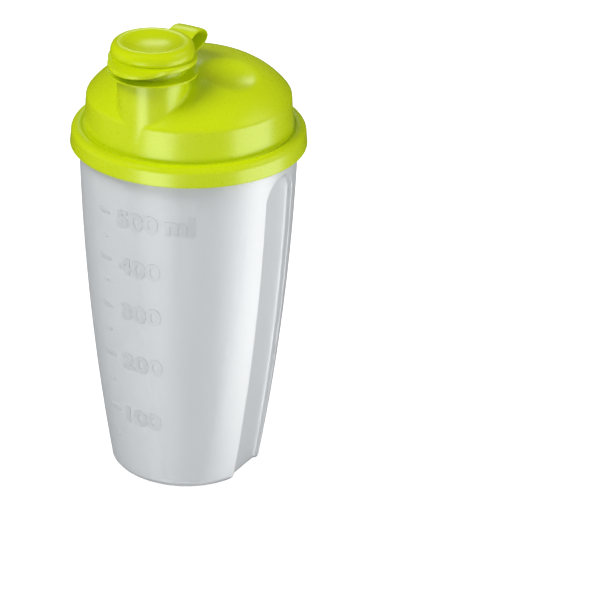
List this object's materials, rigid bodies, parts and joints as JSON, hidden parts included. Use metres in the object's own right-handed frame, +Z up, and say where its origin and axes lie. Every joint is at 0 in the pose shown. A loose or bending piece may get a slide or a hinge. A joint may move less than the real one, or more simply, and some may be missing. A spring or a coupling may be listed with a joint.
{
  "type": "salad dressing shaker bottle",
  "caption": "Tapered translucent shaker beaker with finger grips, a push-on domed lid with an offset spout, and a flip cap on a looped strap.",
  "frame": {"origin": "centre of the beaker's base, on the surface that it stands on", "axes": "+Z up through the lid; -Y towards the spout and the cap's thumb tab; +Y towards the cap's strap; finger grips at -X and +X"},
  "size_m": [0.0946, 0.0949, 0.1942],
  "materials": {
    "beaker_plastic": "frosted translucent polypropylene, satin",
    "lid_plastic": "lime green polypropylene, fine spark-eroded satin",
    "cap_plastic": "lime green flexible polyethylene, smooth satin",
    "seal_rubber": "milky translucent silicone"
  },
  "bodies": {
    "beaker_body": {"beaker": "beaker_plastic"},
    "lid_body": {"lid": "lid_plastic", "lid_seal": "seal_rubber"},
    "tether_body": {"tether_ring": "cap_plastic", "hinge_strap": "cap_plastic"},
    "cap_body": {"spout_cap": "cap_plastic"}
  },
  "joints": [
    {"name": "lid_lift", "type": "slide", "parent": "beaker_body", "child": "lid_body", "axis": [0, 0, 1], "range_m": [0, 0.06]},
    {"name": "tether_swivel", "type": "hinge", "parent": "lid_body", "child": "tether_body", "pos_m": [0, -0.027, 0.1826], "axis": [0, 0, 1], "continuous": true},
    {"name": "cap_hinge", "type": "hinge", "parent": "tether_body", "child": "cap_body", "pos_m": [0, 0, 0.1861], "axis": [-1, 0, 0], "range_deg": [0, 165], "deforming": ["hinge_strap"]}
  ]
}
